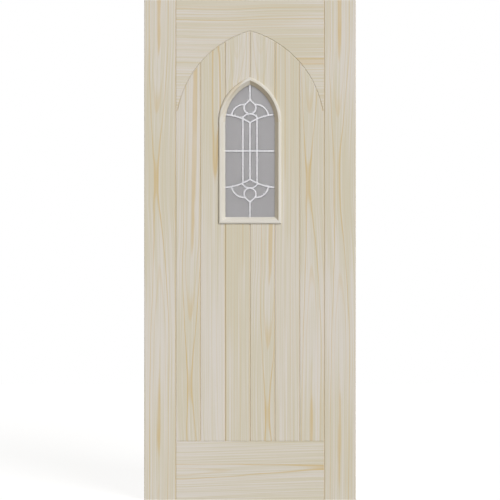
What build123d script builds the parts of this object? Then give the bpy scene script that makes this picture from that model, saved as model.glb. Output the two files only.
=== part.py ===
from build123d import *

import os
from math import acos, asin, atan2, cos, degrees, radians, sin, sqrt

# Glazed exterior door leaf in pine. Two stiles, an arched top rail and a bottom rail hold six
# tongue-and-groove boards, and a lancet window of leaded double glazing is set through the boards.
# Millimetres. X is the width, Y the thickness with the outside face at -Y, and Z is up.
# The origin is the middle of the leaf's bottom edge.

# Leaf
LEAF_WIDTH = 838.0
LEAF_HEIGHT = 1981.0
LEAF_THICKNESS = 44.0
ARRIS = 1.5  # eased outer edges of the stiles

# Frame
STILE_WIDTH = 124.5
BOTTOM_RAIL_DEPTH = 232.0
CROWN_DEPTH = 123.0  # top rail above the point of its arch
ARCH_RADIUS = 400.0
NIB_WIDTH = 6.0  # blunt lower ends of the top rail's horns
TENON_LENGTH = 80.0
TENON_HEIGHT = 70.0
TOP_TENON_DROPS = (45.0, 145.0)  # upper edges of the tenons, below the leaf's top edge
BOTTOM_TENON_RISES = (30.0, 135.0)  # lower edges of the tenons
MORTISE_DEPTH = 83.0
MORTISE_FIT = 0.1  # glue line over and under a tenon

# Boards
BOARD_COUNT = 6
VEE_DEPTH = 2.5  # chamfer on each edge of a V joint
TONGUE_THICKNESS = 12.0
GROOVE_THICKNESS = 12.2
FRAME_TONGUE = 11.5  # tongue of the boarding in the frame's groove
FRAME_GROOVE = 12.5
BOARD_TONGUE = 9.5  # tongue between two boards
BOARD_GROOVE = 10.0

# Window, by the sight line where the moulding meets the glass
SIGHT_WIDTH = 195.0
SIGHT_BOTTOM = 1121.0
SIGHT_SPRINGING = 1498.0
SIGHT_RADIUS = 161.0
OPENING_MARGIN = 13.0  # how far the hole in the boards stands outside the sight line
UNIT_MARGIN = 10.0  # edge of the glass under the moulding
PANE_THICKNESS = 4.0
CAVITY = 12.0
SPACER_INNER = 1.0
SPACER_OUTER = 6.5
TAPE_INNER = 4.0
TAPE_THICKNESS = 2.0
BLOCK_LENGTH = 40.0
BLOCK_SPREAD = 120.0  # between the two setting blocks

# Moulding round the window
MOULDING_WIDTH = 27.0
MOULDING_RISE = 9.0  # proud of the leaf's face
MOULDING_FIT = 0.5  # room between the moulding's leg and the hole
BEVEL = 15.0  # slope from the crest down towards the glass, across and deep
NOSE_RADIUS = 6.0
NOSE_FLATS = 2  # the rounded outer edge is planed in flats

# Leading on the glass, measured from the crossbar at the middle of the sight height
CAME_WIDTH = 9.0
CAME_TOP_WIDTH = 7.0
CAME_THICKNESS = 1.5
CAME_LAP = 3.0  # length of a came under the moulding
BAR_SPACING = 28.0
BOW_POINT = 112.0  # where the two bows meet on the centre line
BOW_RADIUS = 203.0
BOW_CENTRE_X = 111.0
BUD_BOTTOM = 147.5
BUD_RADIUS = 23.4
BUD_TIP = 203.0
CAP_HALF_WIDTH = 31.0
LEAF_ARC_RADIUS = 48.8
LEAF_ARC_CENTRE = (24.4, 135.5)
LEAF_ARC_START = (20.0, 184.0)
LEAF_ARC_END_X = 71.7

# Worked out from the sizes above
HALF_WIDTH = LEAF_WIDTH / 2
FACE = LEAF_THICKNESS / 2
PANEL_HALF = HALF_WIDTH - STILE_WIDTH
BOARD_WIDTH = 2 * PANEL_HALF / BOARD_COUNT
ARCH_CENTRE_X = ARCH_RADIUS - PANEL_HALF
ARCH_RISE = sqrt(ARCH_RADIUS**2 - ARCH_CENTRE_X**2)
ARCH_SPRINGING = LEAF_HEIGHT - CROWN_DEPTH - ARCH_RISE
NIB_BOTTOM = ARCH_SPRINGING + sqrt(ARCH_RADIUS**2 - (ARCH_RADIUS - NIB_WIDTH) ** 2)
STUB_BOTTOM = ARCH_SPRINGING + sqrt((ARCH_RADIUS + FRAME_GROOVE) ** 2 - ARCH_RADIUS**2)
SIGHT_HALF = SIGHT_WIDTH / 2
SIGHT_CENTRE_X = SIGHT_RADIUS - SIGHT_HALF
SIGHT_APEX = SIGHT_SPRINGING + sqrt(SIGHT_RADIUS**2 - SIGHT_CENTRE_X**2)
CROSSBAR_HEIGHT = (SIGHT_BOTTOM + SIGHT_APEX) / 2
UNIT_FACE = PANE_THICKNESS + CAVITY / 2
BOW_CENTRE_HEIGHT = BOW_POINT - sqrt(BOW_RADIUS**2 - BOW_CENTRE_X**2)
OVERCUT = 1.0  # how far a cutter runs past the surface that it cuts
TOWARDS_Z_FROM_X = (0, -1, 0)  # turning about this axis takes +X to +Z


def slab(region, low, high):
    """A flat region of the XZ plane, given thickness from y = low to y = high."""
    return extrude(Plane.XZ.offset(-high) * region, amount=high - low)


def rectangle(left, right, bottom, top):
    """A rectangle in the XZ plane by its four sides."""
    return Pos((left + right) / 2, (bottom + top) / 2) * Rectangle(right - left, top - bottom)


def block(left, right, bottom, top, thickness):
    """A box across the middle of the leaf's thickness."""
    return slab(rectangle(left, right, bottom, top), -thickness / 2, thickness / 2)


def lancet(half_width, bottom, springing, radius):
    """A pointed arch on straight sides, in the XZ plane."""
    centre = radius - half_width
    sweep = degrees(acos(centre / radius))
    right = CenterArc((-centre, springing), radius, 0, sweep)
    left = CenterArc((centre, springing), radius, 180 - sweep, sweep)
    sides = Polyline(left @ 1, (-half_width, bottom), (half_width, bottom), right @ 0)
    return make_face([right, left, sides])


def panel(margin=0.0):
    """The boarded field inside the frame, grown by a margin."""
    return lancet(PANEL_HALF + margin, BOTTOM_RAIL_DEPTH - margin, ARCH_SPRINGING, ARCH_RADIUS + margin)


def window(margin=0.0):
    """The window's sight outline, grown by a margin."""
    return lancet(SIGHT_HALF + margin, SIGHT_BOTTOM - margin, SIGHT_SPRINGING, SIGHT_RADIUS + margin)


def window_ring(inner, outer):
    """The band between two outlines parallel to the window."""
    return window(outer) - window(inner)


def vee(depth):
    """Section of a V cutter on the outside face, with its point at the origin's X."""
    reach = depth + OVERCUT
    points = [(-reach, -FACE - OVERCUT), (reach, -FACE - OVERCUT), (0, -FACE + depth)]
    return make_face(Polyline(*points, close=True))


def on_both_faces(cutter):
    """A cutter for the outside face and its twin for the inside face."""
    return [cutter, mirror(cutter, about=Plane.XZ)]


def upright_vee(x, depth):
    """V cutters along the leaf's whole height."""
    return on_both_faces(Pos(x, 0, -OVERCUT) * extrude(vee(depth), amount=LEAF_HEIGHT + 2 * OVERCUT))


def level_vee(left, right, height):
    """V cutters along a horizontal joint."""
    section = Plane((left, 0, height), x_dir=(0, 0, -1), z_dir=(1, 0, 0)) * vee(VEE_DEPTH)
    return on_both_faces(extrude(section, amount=right - left))


def arch_vee():
    """V cutters along the joint between the boards and the arched rail, from nib to nib."""
    past_point = 4.0  # degrees
    sweep = degrees(acos(ARCH_CENTRE_X / ARCH_RADIUS)) + past_point
    section = Pos(PANEL_HALF, 0, ARCH_SPRINGING) * vee(VEE_DEPTH)
    axis = Axis((-ARCH_CENTRE_X, 0, ARCH_SPRINGING), TOWARDS_Z_FROM_X)
    right = split(revolve(section, axis, sweep), Plane.YZ)
    right = split(right, Plane.XY.offset(NIB_BOTTOM))
    return on_both_faces(right) + on_both_faces(mirror(right, about=Plane.YZ))


def tenons(bottoms, length, fit=0.0):
    """Stub tenons at some heights on the right side of a rail, or with a fit the mortises for them."""
    thickness = GROOVE_THICKNESS if fit else TONGUE_THICKNESS
    root, tip = PANEL_HALF - OVERCUT, PANEL_HALF + length
    return [block(root, tip, z - fit, z + TENON_HEIGHT + fit, thickness) for z in bottoms]


def mirrored(pieces):
    """Some pieces of the right side with their twins on the left."""
    return pieces + [mirror(piece, about=Plane.YZ) for piece in pieces]


def frame_nodes():
    """Stiles and rails, with the rails' tenons in the stiles."""
    top_bottoms = [LEAF_HEIGHT - drop - TENON_HEIGHT for drop in TOP_TENON_DROPS]
    stile_joints = upright_vee(-PANEL_HALF, VEE_DEPTH) + upright_vee(PANEL_HALF, VEE_DEPTH)

    right_stile = block(PANEL_HALF, HALF_WIDTH, 0, LEAF_HEIGHT, LEAF_THICKNESS)
    right_stile -= block(PANEL_HALF, PANEL_HALF + FRAME_GROOVE, 0, LEAF_HEIGHT, GROOVE_THICKNESS)
    right_stile -= upright_vee(PANEL_HALF, VEE_DEPTH) + upright_vee(HALF_WIDTH, ARRIS)
    right_stile -= tenons([*top_bottoms, *BOTTOM_TENON_RISES], MORTISE_DEPTH, MORTISE_FIT)

    stub_half = PANEL_HALF + FRAME_TONGUE
    top_rail = slab(rectangle(-PANEL_HALF, PANEL_HALF, NIB_BOTTOM, LEAF_HEIGHT) - panel(), -FACE, FACE)
    top_rail += block(-stub_half, stub_half, STUB_BOTTOM, LEAF_HEIGHT, TONGUE_THICKNESS)
    top_rail -= slab(panel(FRAME_GROOVE), -GROOVE_THICKNESS / 2, GROOVE_THICKNESS / 2)
    top_rail -= stile_joints + arch_vee()
    top_rail += mirrored(tenons(top_bottoms, TENON_LENGTH))

    groove_bottom = BOTTOM_RAIL_DEPTH - FRAME_GROOVE
    bottom_rail = block(-PANEL_HALF, PANEL_HALF, 0, BOTTOM_RAIL_DEPTH, LEAF_THICKNESS)
    bottom_rail += block(-stub_half, stub_half, 0, groove_bottom, TONGUE_THICKNESS)
    bottom_rail -= block(-stub_half, stub_half, groove_bottom, BOTTOM_RAIL_DEPTH, GROOVE_THICKNESS)
    bottom_rail -= stile_joints + level_vee(-PANEL_HALF, PANEL_HALF, BOTTOM_RAIL_DEPTH)
    bottom_rail += mirrored(tenons(BOTTOM_TENON_RISES, TENON_LENGTH))

    return {
        "left_stile": mirror(right_stile, about=Plane.YZ),
        "right_stile": right_stile,
        "top_rail": top_rail,
        "bottom_rail": bottom_rail,
    }


def board(number):
    """One board of the panel, counted from the left, with the hole for the window cut out."""
    left = -PANEL_HALF + (number - 1) * BOARD_WIDTH
    right = left + BOARD_WIDTH
    first, last = number == 1, number == BOARD_COUNT
    tongue_left = left - FRAME_TONGUE if first else left
    tongue_right = right + (FRAME_TONGUE if last else BOARD_TONGUE)

    field = panel() + rectangle(-PANEL_HALF, PANEL_HALF, BOTTOM_RAIL_DEPTH, NIB_BOTTOM)
    face_part = slab(field & rectangle(left, right, 0, LEAF_HEIGHT), -FACE, FACE)
    tongue_region = panel(FRAME_TONGUE) & rectangle(tongue_left, tongue_right, 0, LEAF_HEIGHT)
    whole = face_part + slab(tongue_region, -TONGUE_THICKNESS / 2, TONGUE_THICKNESS / 2)
    if not first:
        whole -= block(left - OVERCUT, left + BOARD_GROOVE, 0, LEAF_HEIGHT, GROOVE_THICKNESS)
    whole -= upright_vee(left, VEE_DEPTH) + upright_vee(right, VEE_DEPTH)
    whole -= level_vee(-PANEL_HALF, PANEL_HALF, BOTTOM_RAIL_DEPTH) + arch_vee()
    return whole - slab(window(OPENING_MARGIN), -FACE - OVERCUT, FACE + OVERCUT)


def board_nodes():
    """The boards, where the window cuts the middle ones into a lower and an upper length."""
    nodes = {}
    for number in range(1, BOARD_COUNT + 1):
        lengths = board(number).solids().sort_by(Axis.Z)
        if len(lengths) == 1:
            nodes[f"board_{number}"] = lengths[0]
        else:
            nodes[f"board_{number}_lower"], nodes[f"board_{number}_upper"] = lengths
    return nodes


def glazing_nodes():
    """The sealed double-glazed unit with its tapes and setting blocks."""
    unit = window(UNIT_MARGIN)
    outer_pane = slab(unit, -UNIT_FACE, -CAVITY / 2)
    outer_tape = slab(window_ring(TAPE_INNER, UNIT_MARGIN), -UNIT_FACE - TAPE_THICKNESS, -UNIT_FACE)
    block_top = SIGHT_BOTTOM - UNIT_MARGIN
    block_bottom = SIGHT_BOTTOM - OPENING_MARGIN
    blocks = []
    for side in (-1, 1):
        middle = side * BLOCK_SPREAD / 2
        ends = (middle - BLOCK_LENGTH / 2, middle + BLOCK_LENGTH / 2)
        blocks.append(block(*ends, block_bottom, block_top, 2 * UNIT_FACE).solid())
    return {
        "outer_pane": outer_pane,
        "inner_pane": mirror(outer_pane, about=Plane.XZ),
        "spacer_bar": slab(window_ring(SPACER_INNER, SPACER_OUTER), -CAVITY / 2, CAVITY / 2),
        "edge_seal": slab(window_ring(SPACER_OUTER, UNIT_MARGIN), -CAVITY / 2, CAVITY / 2),
        "outer_glazing_tape": outer_tape,
        "inner_glazing_tape": mirror(outer_tape, about=Plane.XZ),
        "setting_blocks": Compound(blocks),
    }


def came_section():
    """Section of a lead came lying on the outer pane, centred on its own line."""
    half, top_half = CAME_WIDTH / 2, CAME_TOP_WIDTH / 2
    top = -UNIT_FACE - CAME_THICKNESS
    points = [(-half, -UNIT_FACE), (half, -UNIT_FACE), (top_half, top), (-top_half, top)]
    return make_face(Polyline(*points, close=True))


def came_bar(start, end):
    """A straight came between two points, each given as x and height."""
    run = Vector(end[0] - start[0], 0, end[1] - start[1])
    plane = Plane((start[0], 0, start[1]), x_dir=(run.Z, 0, -run.X), z_dir=run)
    return extrude(plane * came_section(), amount=run.length)


def came_arc(centre, radius, start_angle, end_angle):
    """A curved came about a centre, from one angle to another, counted from +X towards +Z."""
    out = Vector(cos(radians(start_angle)), 0, sin(radians(start_angle)))
    middle = Vector(centre[0], 0, centre[1])
    plane = Plane(middle + out * radius, x_dir=out, z_dir=(-out.Z, 0, out.X))
    axis = Axis(middle, TOWARDS_Z_FROM_X)
    return revolve(plane * came_section(), axis, end_angle - start_angle)


def bow_height(x):
    """Height of the bow above the crossbar, at a distance from the centre line."""
    return BOW_CENTRE_HEIGHT + sqrt(BOW_RADIUS**2 - (BOW_CENTRE_X - x) ** 2)


def angle_from(centre, point):
    """Direction of a point seen from a centre, in degrees from +X towards +Z."""
    return degrees(atan2(point[1] - centre[1], point[0] - centre[0]))


def flower_half():
    """The right half of the upper flower: bow, bud side, leaf and half of the cap."""
    bud_centre = BUD_BOTTOM + BUD_RADIUS
    tangent = degrees(asin(BUD_RADIUS / (BUD_TIP - bud_centre)))
    shoulder = (BUD_RADIUS * cos(radians(tangent)), bud_centre + BUD_RADIUS * sin(radians(tangent)))
    bow_centre = (BOW_CENTRE_X, BOW_CENTRE_HEIGHT)
    cap_end = (CAP_HALF_WIDTH, bow_height(CAP_HALF_WIDTH))
    cap_rise = BUD_BOTTOM - cap_end[1]
    cap_radius = (CAP_HALF_WIDTH**2 + cap_rise**2) / (2 * cap_rise)
    cap_centre = (0, BUD_BOTTOM - cap_radius)
    leaf_end = (LEAF_ARC_END_X, bow_height(LEAF_ARC_END_X))
    leaf_angles = [angle_from(LEAF_ARC_CENTRE, end) for end in (leaf_end, LEAF_ARC_START)]
    return [
        came_arc(bow_centre, BOW_RADIUS, 90, angle_from(bow_centre, (0, BOW_POINT))),
        came_arc((0, bud_centre), BUD_RADIUS, -90, tangent),
        came_bar(shoulder, (0, BUD_TIP)),
        came_arc(cap_centre, cap_radius, angle_from(cap_centre, cap_end), 90),
        came_arc(LEAF_ARC_CENTRE, LEAF_ARC_RADIUS, *leaf_angles),
    ]


def lead_lattice():
    """The soldered leading on the outside of the glass."""
    flower = mirrored(flower_half())
    flower.append(came_bar((0, BUD_TIP), (0, SIGHT_APEX - CROSSBAR_HEIGHT + CAME_LAP)))
    pieces = flower + [mirror(piece, about=Plane.XY) for piece in flower]
    for x in (-BAR_SPACING, 0, BAR_SPACING):
        height = bow_height(abs(x))
        pieces.append(came_bar((x, -height), (x, height)))
    reach = SIGHT_HALF + CAME_LAP
    pieces.append(came_bar((-reach, 0), (reach, 0)))
    lattice = Pos(0, 0, CROSSBAR_HEIGHT) * (pieces[0] + pieces[1:])
    return lattice & slab(window(CAME_LAP), -FACE, 0)


def lattice_nodes():
    """The leading on the two outer surfaces of the glazed unit."""
    outside = lead_lattice()
    return {"outer_lead_lattice": outside, "inner_lead_lattice": mirror(outside, about=Plane.XZ)}


def planed_quarter(centre, radius, start_angle, flats):
    """Points of a quarter round that is worked in equal flats."""
    turns = [radians(start_angle + 90 * step / flats) for step in range(flats + 1)]
    return [(centre[0] + radius * cos(turn), centre[1] + radius * sin(turn)) for turn in turns]


def moulding_section():
    """Section of the bolection moulding: X from the sight line outwards, Y through the leaf."""
    crest = -FACE - MOULDING_RISE
    leg = -UNIT_FACE - TAPE_THICKNESS
    heel = OPENING_MARGIN - MOULDING_FIT
    shoulder = MOULDING_WIDTH - NOSE_RADIUS
    bevel = [(BEVEL, crest), (0, crest + BEVEL)]
    nose = planed_quarter((shoulder, crest + NOSE_RADIUS), NOSE_RADIUS, -90, NOSE_FLATS)
    back = [(0, leg), (heel, leg), (heel, -FACE), (MOULDING_WIDTH, -FACE)]
    return make_face(Polyline(*bevel, *back, *reversed(nose), close=True))


def outer_mouldings():
    """The five mitred lengths of moulding on the outside face."""
    corner = (SIGHT_HALF, 0, SIGHT_BOTTOM)
    mitre = Plane(corner, z_dir=(1, 0, 1))
    length = SIGHT_SPRINGING - SIGHT_BOTTOM + MOULDING_WIDTH + OVERCUT
    upright = Pos(SIGHT_HALF, 0, SIGHT_SPRINGING) * moulding_section()
    right_jamb = split(extrude(upright, amount=-length), mitre)

    past_point = 12.0  # degrees
    sweep = degrees(acos(SIGHT_CENTRE_X / SIGHT_RADIUS)) + past_point
    axis = Axis((-SIGHT_CENTRE_X, 0, SIGHT_SPRINGING), TOWARDS_Z_FROM_X)
    right_arch = split(revolve(upright, axis, sweep), Plane.YZ)

    level = Plane((0, 0, SIGHT_BOTTOM), x_dir=(0, 0, -1), z_dir=(1, 0, 0)) * moulding_section()
    right_sill = split(extrude(level, amount=SIGHT_HALF + MOULDING_WIDTH + OVERCUT), mitre, Keep.BOTTOM)
    return {
        "sill": right_sill + mirror(right_sill, about=Plane.YZ),
        "left_jamb": mirror(right_jamb, about=Plane.YZ),
        "right_jamb": right_jamb,
        "left_arch": mirror(right_arch, about=Plane.YZ),
        "right_arch": right_arch,
    }


def moulding_nodes():
    """The mouldings of the outside face, and the like ones inside."""
    nodes = {}
    for name, piece in outer_mouldings().items():
        nodes[f"outer_moulding_{name}"] = piece
        nodes[f"inner_moulding_{name}"] = mirror(piece, about=Plane.XZ)
    return nodes


os.makedirs("parts", exist_ok=True)
for node, shape in {
    **frame_nodes(),
    **board_nodes(),
    **glazing_nodes(),
    **lattice_nodes(),
    **moulding_nodes(),
}.items():
    export_step(shape, f"parts/{node}.step")
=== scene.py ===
"""Looks of a boarded pine door leaf with a leaded lancet window: finishes, solder, light and camera."""
from dataclasses import dataclass
from math import cos, pi, radians, sin, sqrt

import bmesh
import bpy
from mathutils import Matrix, Vector


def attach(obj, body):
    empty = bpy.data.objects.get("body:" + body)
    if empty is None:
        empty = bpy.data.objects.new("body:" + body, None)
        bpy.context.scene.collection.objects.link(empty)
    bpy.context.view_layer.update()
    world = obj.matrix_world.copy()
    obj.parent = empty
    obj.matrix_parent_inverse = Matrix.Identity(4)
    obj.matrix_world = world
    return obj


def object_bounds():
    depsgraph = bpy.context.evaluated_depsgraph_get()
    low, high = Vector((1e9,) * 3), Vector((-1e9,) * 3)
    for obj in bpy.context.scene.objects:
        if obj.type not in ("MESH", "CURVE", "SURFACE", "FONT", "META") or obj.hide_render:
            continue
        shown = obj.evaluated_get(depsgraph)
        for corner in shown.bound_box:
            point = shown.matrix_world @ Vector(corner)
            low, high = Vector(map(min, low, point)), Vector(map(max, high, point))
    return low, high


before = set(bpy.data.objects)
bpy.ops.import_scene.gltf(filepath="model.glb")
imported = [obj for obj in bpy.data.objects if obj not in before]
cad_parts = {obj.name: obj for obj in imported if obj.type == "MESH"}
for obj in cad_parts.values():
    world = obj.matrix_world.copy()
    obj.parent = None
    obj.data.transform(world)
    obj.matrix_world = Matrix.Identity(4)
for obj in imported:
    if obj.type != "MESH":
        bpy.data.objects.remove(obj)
cad_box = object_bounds()

# Leaf
FACE = 0.022  # half its thickness, without the moulding

# Camera, straight on, with the leaf as high as the picture
LENS = 150.0
SENSOR = 36.0
CLIP_END = 100.0

# Light, as directions towards it and shares of a white surface's brightness
KEY_DIRECTION = (0.45, -0.80, 0.37)
KEY_SHARE = 0.90
BACK_DIRECTION = (-0.50, 0.75, 0.43)
BACK_SHARE = 0.75
SOFTNESS = 25.0  # degrees across a lamp
FILL = 0.24
FILL_COLOUR = (1.0, 0.93, 0.80, 1.0)
WHITE = (1.0, 1.0, 1.0, 1.0)

# Floor
FLOOR_SIZE = 14.0
FLOOR_GLOW = 0.80  # as it is seen
FLOOR_LIFT = 0.08  # as it lights other things
FLOOR_ALBEDO = 0.25

# Lines of the leading, from the middle of its crossbar
CROSSBAR_HEIGHT = 1.3835  # above the leaf's bottom edge
BAR_SPACING = 0.028
BOW_POINT = 0.112  # where the two bows meet on the centre line
BOW_RADIUS = 0.203
BOW_CENTRE_X = 0.111
BUD_ENDS = (0.1475, 0.203)
LEAF_ARC_START = (0.020, 0.184)
LEAF_ARC_END_X = 0.0717

# Solder on its joints, as domes
PANE_FACE = 0.010  # from the middle of the leaf
SOLDER_RADIUS = 0.0055
SOLDER_RISE = 0.0017
SOLDER_SEGMENTS = 16  # round a dome
SOLDER_STEPS = 8  # from pole to pole of the ball that it is cut from
SOLDER_HAIR = SOLDER_RISE / 100  # keeps the points on a dome's rim

# Places of a mixing node's sockets for colours: share, first and second colour, and result
MIX_COLOUR_INPUTS = (0, 6, 7)
MIX_COLOUR_OUTPUT = 2


def paint(red, green, blue):
    """A screen colour, 0 to 255 a channel, as linear light."""
    shares = [channel / 255 for channel in (red, green, blue)]
    return (*[s / 12.92 if s <= 0.04045 else ((s + 0.055) / 1.055) ** 2.4 for s in shares], 1.0)


class Field:
    """A value that varies over a surface. Arithmetic on it adds nodes to its material."""

    def __init__(self, graph, socket):
        self.graph = graph
        self.socket = socket

    def __add__(self, other):
        return self.graph.math("ADD", self, other)

    def __sub__(self, other):
        return self.graph.math("SUBTRACT", self, other)

    def __rsub__(self, other):
        return self.graph.math("SUBTRACT", other, self)

    def __mul__(self, other):
        return self.graph.math("MULTIPLY", self, other)

    def __truediv__(self, other):
        return self.graph.math("DIVIDE", self, other)

    __radd__ = __add__
    __rmul__ = __mul__


class Graph:
    """The nodes of one material or of the world."""

    def __init__(self, owner):
        owner.use_nodes = True
        self.owner = owner
        self.tree = owner.node_tree

    def node(self, kind, **settings):
        made = self.tree.nodes.new("ShaderNode" + kind)
        for name, value in settings.items():
            setattr(made, name, value)
        return made

    def feed(self, socket, value):
        """Links a field to a socket, or sets a plain value on it."""
        if isinstance(value, Field):
            self.tree.links.new(value.socket, socket)
        else:
            socket.default_value = value

    def fed(self, node, output=0, **inputs):
        """One output of a node as a field, after its named inputs are fed."""
        for name, value in inputs.items():
            self.feed(node.inputs[name.replace("_", " ")], value)
        return Field(self, node.outputs[output])

    def math(self, operation, *values):
        node = self.node("Math", operation=operation)
        for socket, value in zip(node.inputs, values):
            self.feed(socket, value)
        return Field(self, node.outputs[0])

    def position(self):
        """The three coordinates of a surface point, in metres."""
        split = self.node("SeparateXYZ")
        self.tree.links.new(self.node("TexCoord").outputs["Object"], split.inputs[0])
        return [Field(self, output) for output in split.outputs]

    def facing(self, axis):
        """How far a face looks along an axis, either way, from 0 to 1."""
        split = self.node("SeparateXYZ")
        self.tree.links.new(self.node("NewGeometry").outputs["True Normal"], split.inputs[0])
        return self.math("ABSOLUTE", Field(self, split.outputs[axis]))

    def step(self, value, low, high):
        """Rises smoothly from 0 at low to 1 at high."""
        node = self.node("MapRange", interpolation_type="SMOOTHSTEP")
        return self.fed(node, Value=value, From_Min=low, From_Max=high)

    def hump(self, value, start, full, falling, gone):
        """Rises smoothly from 0 at start to 1 at full, and falls from 1 at falling to 0 at gone."""
        return self.step(value, start, full) * (1 - self.step(value, falling, gone))

    def noise(self, x, y, z, detail=2.0):
        """Smooth noise from 0 to 1, with a grain of about one unit."""
        place = self.fed(self.node("CombineXYZ"), X=x, Y=y, Z=z)
        return self.fed(self.node("TexNoise"), Vector=place, Scale=1.0, Detail=detail)

    def speckle(self, per_metre, detail=2.0):
        """Noise that is alike in all directions, with so many grains to a metre."""
        x, y, z = self.position()
        return self.noise(x * per_metre, y * per_metre, z * per_metre, detail)

    def chance(self, value):
        """A fixed random share for each whole number."""
        return self.fed(self.node("TexWhiteNoise", noise_dimensions="1D"), W=value)

    def curve(self, value, points):
        """A smooth line through some (place, height) points, level beyond its ends."""
        places, heights = zip(*points)
        start, bottom = min(places), min(heights)
        reach = max(places) - start
        rise = max(heights) - bottom or 1.0  # any rise does for a level line
        node = self.node("FloatCurve")
        node.mapping.extend = "HORIZONTAL"
        line = node.mapping.curves[0]
        while len(line.points) < len(points):
            line.points.new(0.5, 0.5)
        for knot, (place, height) in zip(line.points, sorted(points)):
            knot.location = ((place - start) / reach, (height - bottom) / rise)
        node.mapping.update()
        return self.fed(node, Value=(value - start) / reach) * rise + bottom

    def blend(self, share, first, second):
        """A colour between two colours."""
        node = self.node("Mix", data_type="RGBA")
        for place, value in zip(MIX_COLOUR_INPUTS, (share, first, second)):
            self.feed(node.inputs[place], value)
        return Field(self, node.outputs[MIX_COLOUR_OUTPUT])

    def bump(self, height, distance):
        return self.fed(self.node("Bump"), Height=height, Distance=distance)


def finished(name, make):
    """A new material, with the inputs that a function of its graph gives for its shader."""
    graph = Graph(bpy.data.materials.new(name))
    shader = graph.tree.nodes["Principled BSDF"]
    for key, value in make(graph).items():
        graph.feed(shader.inputs[key], value)
    return graph.owner


LEVEL = ((0.0, 0.0), (1.0, 0.0))  # a line that stays at 0


@dataclass
class Figure:
    """The grain of one piece of pine, in metres: which rings its faces cut, and how they show, with the
    warm shade painted on its 45-degree slopes.
    """

    heart: float  # place of the heart line across the grain
    rings: tuple = LEVEL  # ring counts at some places along the heart line
    drift: tuple = LEVEL  # its drift across at some places along it
    shift: float = 0.0  # of the whole figure along the grain
    grain: float = 0.0  # degrees from upright, clockwise seen from outside
    pith: float = 0.038  # from the outside face outwards to the middle of the tree
    ring: float = 0.0078  # between two rings
    bold: tuple = ()  # strength of rings below the counts 0, 1, 2 and so on
    most: float = 9.0  # ring count that the heart line doesn't pass
    strong: tuple = ()  # other rings that stand out: number, start and end along the grain, strength
    bands: tuple = ()  # honey-coloured bands: first and last ring count, start and end, strength
    faint: float = 0.16  # strength of the rest
    chamfer_shade: float = 0.35  # painted warm shade in honey colour on slopes at 45 degrees, such as the sides of V joints
    chamfer_axis: str = "X"  # axis from which those are measured: X finds upright ones, Y finds all
    warmth: float = 0.5  # from pale to cream
    tones: tuple = LEVEL  # changes of that at some places along the grain
    seed: float = 0.0


# Pine
PALE = paint(210.5, 205, 198)
CREAM = paint(201.5, 195, 176)
# Honey colour of late wood and bands, also used for the painted warm shade on 45-degree slopes
HONEY = paint(198, 174, 126)
FIBRE = paint(190, 178, 154)
FIBRE_SHARE = 0.2
FIBRE_RANGE = (0.50, 0.80)  # of noise, from none to full
GROUND_RANGE = (0.39, 0.61)  # of mixed noise, from pale to cream
LINE_SHARE = 0.65  # of fine lines in that noise
RING_TONE_SHARE = 0.15
CLOUD_SHARE = 0.20
CHAMFER_SPREAD = 0.03  # within which a slope counts as one of 45 degrees and gets painted shade
GRAIN_HEIGHT = 0.00012

# Late wood, in shares of a ring: where it starts, is full, begins to end and has ended
LATE_WOOD = (0.66, 0.84, 0.88, 0.99)
BROAD_LATE_WOOD = (0.40, 0.80, 0.90, 1.0)  # in rings that stand out
RIPPLE = 0.3  # of the rings, in shares of one
BLUR = 0.2  # of a band's sides, and of the heart line where it stops rising, in shares of a ring
RUN_OUT = 0.12  # over which rings that stand out, and bands, fade at their ends


def uneven(share):
    """A factor from 0.3 to 1.7, for a random share."""
    return 0.3 + 1.4 * share


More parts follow.
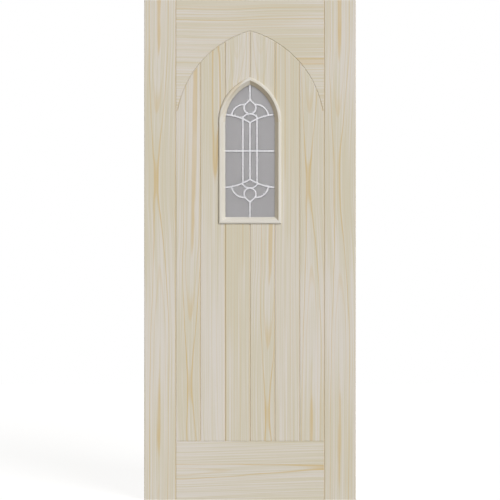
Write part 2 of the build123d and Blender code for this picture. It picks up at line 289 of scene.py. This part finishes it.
def pine(figure, pale=PALE, cream=CREAM):
    """Shader inputs of bare sanded pine with painted warm shade on its 45-degree slopes, as a function of
    a graph.
    """

    def make(graph):
        x, y, z = graph.position()
        turn = radians(figure.grain)
        along = x * sin(turn) + z * cos(turn) - figure.shift
        across = x * cos(turn) - z * sin(turn) - figure.heart
        depth = y + FACE

        aside = across - graph.curve(along, figure.drift)
        from_pith = depth + figure.pith
        radius = graph.math("SQRT", aside * aside + from_pith * from_pith)
        # Factors in the noise are grains to a metre, or to a ring where they stand with the count
        ripple = graph.noise(across * 40, depth * 40 + figure.seed, along * 4)
        on_heart = graph.math("SMOOTH_MIN", graph.curve(along, figure.rings), figure.most, BLUR)
        count = on_heart + (radius - figure.pith) / figure.ring + (ripple - 0.5) * RIPPLE

        number = graph.math("FLOOR", count)
        share = graph.math("FRACT", count)
        late = graph.hump(share, *LATE_WOOD)
        strength = uneven(graph.chance(number + figure.seed)) * figure.faint
        for outer, bold in reversed(list(enumerate(figure.bold))):
            strength = strength + graph.math("LESS_THAN", count, float(outer)) * (bold - strength)
        fade = graph.noise(across * 12 + figure.seed, depth * 12, along * 5)
        honey = late * strength * uneven(fade)
        broad = graph.hump(share, *BROAD_LATE_WOOD)
        for marked, start, end, strong in figure.strong:
            same = graph.math("COMPARE", number, float(marked), 0.5)
            stretch = graph.hump(along, start - RUN_OUT, start, end, end + RUN_OUT)
            honey = graph.math("MAXIMUM", honey, broad * same * stretch * strong)
        for first, last, start, end, strong in figure.bands:
            within = graph.hump(count, first - BLUR, first + BLUR, last - BLUR, last + BLUR)
            stretch = graph.hump(along, start - RUN_OUT, start, end, end + RUN_OUT)
            honey = graph.math("MAXIMUM", honey, within * stretch * strong)
        # Painted shade: honey colour on 45-degree slopes, where V joint grooves and moulding bevels lie in
        # shade
        shade_slope = graph.math("COMPARE", graph.facing(figure.chamfer_axis), sin(radians(45)), CHAMFER_SPREAD)
        honey = graph.math("MAXIMUM", honey, shade_slope * figure.chamfer_shade)

        lines = graph.noise(aside * 190, depth * 60 + figure.seed, along * 1.4, detail=1.0)
        ring_tone = graph.noise(count * 1.3, along * 1.7, depth * 3 + figure.seed)
        cloud = graph.noise(across * 14, depth * 14 + figure.seed, along * 2.6)
        fibre = graph.noise(across * 800 + figure.seed, depth * 800, along * 12)
        tone = graph.curve(along, figure.tones) + (figure.warmth - 0.5)
        ground = lines * LINE_SHARE + ring_tone * RING_TONE_SHARE + cloud * CLOUD_SHARE + tone
        bare = graph.blend(graph.step(ground, *GROUND_RANGE), pale, cream)
        ringed_and_shaded = graph.blend(honey, bare, HONEY)
        return {
            "Base Color": graph.blend(graph.step(fibre, *FIBRE_RANGE) * FIBRE_SHARE, ringed_and_shaded, FIBRE),
            "Roughness": 0.70 - late * 0.12 - fibre * 0.08,
            "Specular IOR Level": 0.35,
            "Normal": graph.bump(late * 0.5 + fibre, GRAIN_HEIGHT),
        }

    return make


# Grain figures, by places along the grain: heights in upright pieces, distances from the middle in rails
DEEP_RINGS = ((6, 0.3, 1.1, 0.5), (7, -0.2, 2.2, 0.55))  # that the inside face cuts
CATHEDRAL = dict(
    rings=(
        (0.00, -0.05),
        (0.12, -0.08),
        (0.26, -0.14),
        (0.35, -0.11),
        (0.43, -0.075),
        (0.53, -0.045),
        (0.63, 0.02),
        (0.81, 0.55),
        (0.935, 0.95),
        (1.06, 1.38),
        (1.19, 1.71),
        (1.25, 1.79),
        (1.38, 1.58),
        (1.51, 1.05),
        (1.63, 0.50),
        (1.75, -0.03),
        (1.82, -0.12),
        (1.92, -0.15),
        (1.98, -0.18),
    ),
    drift=(
        (0.00, -0.0016),
        (0.40, 0.0008),
        (0.71, 0.0036),
        (0.935, 0.0008),
        (1.125, -0.0065),
        (1.25, -0.0113),
        (1.57, -0.0069),
        (1.80, 0.0),
    ),
    bold=(0.66, 0.28, 0.75),
    strong=((0, 1.54, 1.55, 0.38), *DEEP_RINGS),
    tones=(
        (0.00, -0.02),
        (0.25, 0.015),
        (0.50, -0.04),
        (0.73, -0.055),
        (0.97, 0.015),
        (1.38, 0.06),
        (1.70, -0.01),
        (1.95, -0.03),
    ),
)
WEDGE = dict(
    rings=(
        (0.23, 1.27),
        (0.30, 1.43),
        (0.36, 1.60),
        (0.44, 1.73),
        (0.555, 1.58),
        (0.68, 1.08),
        (0.745, 0.80),
        (0.83, 0.40),
        (0.94, 0.02),
        (1.01, -0.10),
        (1.19, -0.16),
        (1.74, -0.20),
    ),
    drift=(
        (0.23, 0.0071),
        (0.36, 0.0016),
        (0.49, -0.0008),
        (0.745, 0.0024),
        (0.94, 0.0055),
        (1.03, 0.0105),
        (1.19, 0.0135),
        (1.44, 0.0186),
        (1.74, 0.0206),
    ),
    bold=(0.56, 0.38, 0.85),
    strong=((0, 0.74, 0.75, 0.46), *DEEP_RINGS),
    tones=((0.3, 0.01), (0.58, 0.06), (0.9, 0.01), (1.2, -0.02), (1.5, -0.04)),
    pith=0.035,
    ring=0.008,
)
FORK = dict(
    rings=(
        (0.23, 0.35),
        (0.79, 0.48),
        (0.99, 0.42),
        (1.23, 0.10),
        (1.264, 0.0),
        (1.31, -0.30),
        (1.355, -0.45),
        (1.426, -0.56),
        (1.585, -1.03),
        (1.70, -0.97),
        (1.783, -0.78),
    ),
    drift=(
        (0.23, 0.006),
        (0.80, -0.004),
        (1.264, 0.0007),
        (1.355, 0.0015),
        (1.426, 0.0019),
        (1.585, 0.0059),
        (1.783, 0.0023),
    ),
    bands=((-0.50, -0.04, 1.20, 1.90, 0.80),),
    tones=((0.3, -0.02), (0.75, -0.015), (1.0, 0.03), (1.25, 0.09), (1.45, 0.08), (1.65, 0.06)),
    pith=0.012,
    ring=0.0095,
)
LEVEL_WEDGE = dict(
    rings=(
        (-0.254, 0.50),
        (-0.127, 0.80),
        (-0.05, 0.98),
        (0.0, 1.20),
        (0.127, 1.49),
        (0.254, 1.71),
        (0.30, 1.76),
    ),
    drift=((-0.254, 0.0), (0.254, -0.0167)),
    bold=(0.0, 0.30, 0.80),
    tones=((-0.25, -0.035), (0.25, 0.03)),
    pith=0.035,
    ring=0.008,
    grain=90.0,
)
FLAME = dict(rings=((1.66, 1.62), (1.755, 0.86), (1.85, 0.05)), bold=(0.1, 0.12, 0.32))
FLAME_DRIFT = ((1.66, -0.009), (1.755, 0.0), (1.85, 0.0))
QUARTER = dict(ring=0.01125, pith=0.02, faint=0.30)
BOARD_3_TONES = ((0.3, -0.03), (0.65, -0.015), (0.85, 0.02), (1.05, 0.05))
BOARD_5_TONES = ((0.3, -0.015), (0.8, -0.04), (1.15, 0.0), (1.4, 0.05), (1.65, 0.04))
TOP_RAIL_DRIFT = (
    (-0.254, 0.0),
    (-0.127, 0.0024),
    (-0.06, 0.0020),
    (0.0, -0.0008),
    (0.127, -0.0044),
    (0.254, -0.0052),
)
TOP_RAIL_TONES = ((-0.25, -0.02), (-0.1, -0.02), (0.0, 0.005), (0.12, 0.03), (0.2, 0.01), (0.27, -0.02))
TOP_RAIL_RINGS = (
    (35, -0.4, 0.0, 0.55),
    (38, -0.4, 0.4, 0.55),
    (42, -0.4, 0.4, 0.55),
    (56, 0.18, 0.4, 0.75),
    (58, 0.18, 0.4, 0.85),
)
TOP_RAIL_BANDS = ((56.55, 59.0, 0.18, 0.4, 0.38),)
BOARD_3_RINGS = ((24, 0.2, 1.1, 0.55), (30, 0.98, 1.1, 0.55))
BOARD_5_RINGS = ((37, 1.55, 1.9, 0.55), (34, 1.33, 1.80, 0.55))

FIGURES = {
    "left_stile": Figure(-0.3606, **CATHEDRAL, seed=1.0),
    "right_stile": Figure(0.3553, **CATHEDRAL, shift=-0.016, most=1.62, seed=13.0),
    "top_rail": Figure(
        -2.4037,
        **QUARTER,
        drift=TOP_RAIL_DRIFT,
        strong=TOP_RAIL_RINGS,
        bands=TOP_RAIL_BANDS,
        grain=90.0,
        warmth=0.52,
        tones=TOP_RAIL_TONES,
        seed=33.0,
    ),
    "bottom_rail": Figure(-0.1123, **LEVEL_WEDGE, seed=4.0),
    "board_1": Figure(-0.238, **WEDGE, seed=5.0),
    "board_2": Figure(-0.139, **FORK, faint=0.10, warmth=0.46, seed=6.0),
    "board_3_upper": Figure(-0.0499, **FLAME, drift=FLAME_DRIFT, faint=0.10, warmth=0.49, seed=7.0),
    "board_3_lower": Figure(
        -0.394, **QUARTER, strong=BOARD_3_RINGS, warmth=0.56, tones=BOARD_3_TONES, seed=8.0
    ),
    "board_4_upper": Figure(0.042, **FLAME, shift=0.02, faint=0.10, warmth=0.51, seed=9.0),
    "board_4_lower": Figure(0.0697, **WEDGE, shift=-0.111, seed=10.0),
    "board_5": Figure(0.55, **QUARTER, strong=BOARD_5_RINGS, warmth=0.53, tones=BOARD_5_TONES, seed=11.0),
    "board_6": Figure(0.2426, **CATHEDRAL, shift=-0.008, seed=12.0),
}

# Mouldings, of finer pine
MOULDING_PALE = paint(217, 214, 208)
MOULDING_CREAM = paint(211, 206, 194)
MOULDING_SEED = 20.0  # of the first length
MOULDING = dict(heart=-0.6, ring=0.006, faint=0.12, chamfer_axis="Y")
ARCH_SLANT = 32.0  # degrees of an arch length's grain from upright
WARM_STREAK = ((44.9, 50.0, 1.36, 1.5, 0.4),)
STREAK_DRIFT = ((1.30, 0.0), (1.36, 0.0), (1.42, 0.014))
# Painted warm shade on each length's 45-degree bevels: most on the right jamb and right arch, whose bevels
# face away from the key light, some on the left arch
MOULDING_LENGTHS = {
    "sill": dict(grain=90.0, chamfer_shade=0.0),
    "left_jamb": dict(chamfer_shade=0.0),
    "right_jamb": dict(chamfer_shade=0.30),
    "left_arch": dict(grain=ARCH_SLANT, chamfer_shade=0.12, bands=WARM_STREAK, drift=STREAK_DRIFT),
    "right_arch": dict(grain=-ARCH_SLANT, chamfer_shade=0.40),
}

# Colours of the window's pieces
GLASS_TINT = paint(201.2, 199.8, 200.6)
LEAD_COLOURS = (paint(180, 179, 181), paint(168, 168, 171))
ALUMINIUM_COLOURS = (paint(214, 215, 216), paint(198, 200, 203))
SEALANT_COLOURS = (paint(38, 38, 38), paint(56, 56, 57))
FOAM_COLOURS = (paint(198, 196, 190), paint(214, 212, 206))
PACKER_COLOURS = (paint(118, 130, 118), paint(128, 139, 127))


def satin_glass(graph):
    frost = graph.speckle(1400, detail=3.0)
    drift = graph.speckle(60)
    return {
        "Base Color": GLASS_TINT,
        "Transmission Weight": 1.0,
        "IOR": 1.5,
        "Roughness": 0.28 + drift * 0.06,
        "Normal": graph.bump(frost, 0.00004),
    }


def lead(graph):
    mottle = graph.speckle(110, detail=4.0)
    scratch = graph.speckle(900)
    return {
        "Base Color": graph.blend(graph.step(mottle, 0.35, 0.70), *LEAD_COLOURS),
        "Metallic": 1.0,
        "Roughness": 0.40 + mottle * 0.16,
        "Normal": graph.bump(mottle + scratch * 0.4, 0.00015),
    }


def aluminium(graph):
    x, y, z = graph.position()
    brushing = graph.noise(x * 160, y * 2400, z * 160)
    return {
        "Base Color": graph.blend(brushing, *ALUMINIUM_COLOURS),
        "Metallic": 1.0,
        "Roughness": 0.30 + brushing * 0.15,
    }


def sealant(graph):
    smear = graph.speckle(220)
    return {
        "Base Color": graph.blend(smear, *SEALANT_COLOURS),
        "Roughness": 0.55 + smear * 0.2,
        "Normal": graph.bump(smear, 0.0003),
    }


def foam(graph):
    cells = graph.speckle(1800, detail=3.0)
    return {
        "Base Color": graph.blend(cells, *FOAM_COLOURS),
        "Roughness": 0.85,
        "Normal": graph.bump(cells, 0.0002),
    }


def packer(graph):
    mould = graph.speckle(500)
    return {
        "Base Color": graph.blend(mould, *PACKER_COLOURS),
        "Roughness": 0.45 + mould * 0.1,
        "Normal": graph.bump(mould, 0.0001),
    }


def dress(node, material):
    """Gives a CAD node its material."""
    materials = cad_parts[node].data.materials
    materials.clear()
    materials.append(material)


def dress_all():
    for node, figure in FIGURES.items():
        dress(node, finished(f"pine_{node}", pine(figure)))
    for side in ("outer", "inner"):
        for number, (length, own) in enumerate(MOULDING_LENGTHS.items()):
            node = f"{side}_moulding_{length}"
            figure = Figure(**MOULDING, **own, seed=MOULDING_SEED + number)
            dress(node, finished(f"pine_{node}", pine(figure, MOULDING_PALE, MOULDING_CREAM)))
    glass = finished("satin_glass", satin_glass)
    leading = finished("lead", lead)
    tape = finished("foam_tape", foam)
    for side in ("outer", "inner"):
        dress(f"{side}_pane", glass)
        dress(f"{side}_lead_lattice", leading)
        dress(f"{side}_glazing_tape", tape)
    dress("spacer_bar", finished("aluminium", aluminium))
    dress("edge_seal", finished("sealant", sealant))
    dress("setting_blocks", finished("packer", packer))
    return leading


def bow_height(x):
    """Height of the bow above the crossbar, at a distance from the centre line."""
    centre = BOW_POINT - sqrt(BOW_RADIUS**2 - BOW_CENTRE_X**2)
    return centre + sqrt(BOW_RADIUS**2 - (BOW_CENTRE_X - x) ** 2)


def joints():
    """Where the cames meet, from the middle of the crossbar."""
    on_centre_line = [(0.0, height) for height in (0.0, BOW_POINT, *BUD_ENDS)]
    on_bow = [(x, bow_height(x)) for x in (BAR_SPACING, LEAF_ARC_END_X)]
    quarter = on_centre_line + on_bow + [LEAF_ARC_START, (BAR_SPACING, 0.0)]
    return sorted({(side * x, end * z) for x, z in quarter for side in (-1, 1) for end in (-1, 1)})


def solder(side, out, material):
    """Low domes of solder on the joints of one face's leading; out is -1 or 1 along Y."""
    build = bmesh.new()
    poles_out = Matrix.Rotation(-out * pi / 2, 4, "X")
    shape = poles_out @ Matrix.Diagonal((SOLDER_RADIUS, SOLDER_RADIUS, SOLDER_RISE, 1.0))
    for x, z in joints():
        place = Matrix.Translation((x, out * PANE_FACE, CROSSBAR_HEIGHT + z))
        bmesh.ops.create_uvsphere(
            build, u_segments=SOLDER_SEGMENTS, v_segments=SOLDER_STEPS, radius=1.0, matrix=place @ shape
        )
    sunk = [point for point in build.verts if out * point.co.y < PANE_FACE - SOLDER_HAIR]
    bmesh.ops.delete(build, geom=sunk, context="VERTS")
    for face in build.faces:
        face.smooth = True
    bmesh.ops.holes_fill(build, edges=build.edges[:])
    mesh = bpy.data.meshes.new(f"{side}_solder")
    build.to_mesh(mesh)
    build.free()
    mesh.materials.append(material)
    domes = bpy.data.objects.new(f"{side}_solder", mesh)
    bpy.context.collection.objects.link(domes)
    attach(domes, "root")


def sunlight(name, direction, share):
    lamp = bpy.data.lights.new(name, "SUN")
    lamp.energy = share * pi
    lamp.angle = radians(SOFTNESS)
    holder = bpy.data.objects.new(name, lamp)
    holder.rotation_euler = Vector(direction).to_track_quat("Z", "Y").to_euler()
    bpy.context.collection.objects.link(holder)


def seen_directly(graph):
    """1 for rays from the camera and for those that a gloss or glass sends on, otherwise 0."""
    path = graph.node("LightPath")
    rays = [Field(graph, path.outputs[f"Is {kind} Ray"]) for kind in ("Camera", "Glossy", "Transmission")]
    return graph.math("MAXIMUM", graph.math("MAXIMUM", rays[0], rays[1]), rays[2])


def surroundings():
    world = bpy.data.worlds.new("studio")
    bpy.context.scene.world = world
    graph = Graph(world)
    background = graph.tree.nodes["Background"]
    seen = seen_directly(graph)
    graph.feed(background.inputs["Color"], graph.blend(seen, FILL_COLOUR, WHITE))
    graph.feed(background.inputs["Strength"], FILL + seen * (1 - FILL))


def floor():
    mesh = bpy.data.meshes.new("floor")
    half = FLOOR_SIZE / 2
    corners = [(-half, -half, 0), (half, -half, 0), (half, half, 0), (-half, half, 0)]
    mesh.from_pydata(corners, [], [(0, 1, 2, 3)])
    plane = bpy.data.objects.new("floor", mesh)
    bpy.context.collection.objects.link(plane)

    graph = Graph(bpy.data.materials.new("floor"))
    mesh.materials.append(graph.owner)
    shader = graph.tree.nodes["Principled BSDF"]
    shader.inputs["Base Color"].default_value = (FLOOR_ALBEDO, FLOOR_ALBEDO, FLOOR_ALBEDO, 1.0)
    shader.inputs["Roughness"].default_value = 1.0
    shader.inputs["Specular IOR Level"].default_value = 0.0
    seen = seen_directly(graph)
    graph.feed(shader.inputs["Emission Color"], graph.blend(seen, FILL_COLOUR, WHITE))
    graph.feed(shader.inputs["Emission Strength"], FLOOR_LIFT + seen * (FLOOR_GLOW - FLOOR_LIFT))


def camera():
    """Stands so far from the outside face that the leaf's height fills the picture."""
    height = cad_box[1].z - cad_box[0].z
    data = bpy.data.cameras.new("camera")
    data.lens = LENS
    data.sensor_width = SENSOR
    data.clip_end = CLIP_END
    holder = bpy.data.objects.new("camera", data)
    holder.location = (0.0, -FACE - height * LENS / SENSOR, height / 2)
    holder.rotation_euler = (radians(90), 0.0, 0.0)
    bpy.context.collection.objects.link(holder)
    bpy.context.scene.camera = holder


leading = dress_all()
solder("outer", -1, leading)
solder("inner", 1, leading)
surroundings()
sunlight("key", KEY_DIRECTION, KEY_SHARE)
sunlight("back", BACK_DIRECTION, BACK_SHARE)
floor()
camera()
bpy.context.scene.view_settings.view_transform = "Standard"
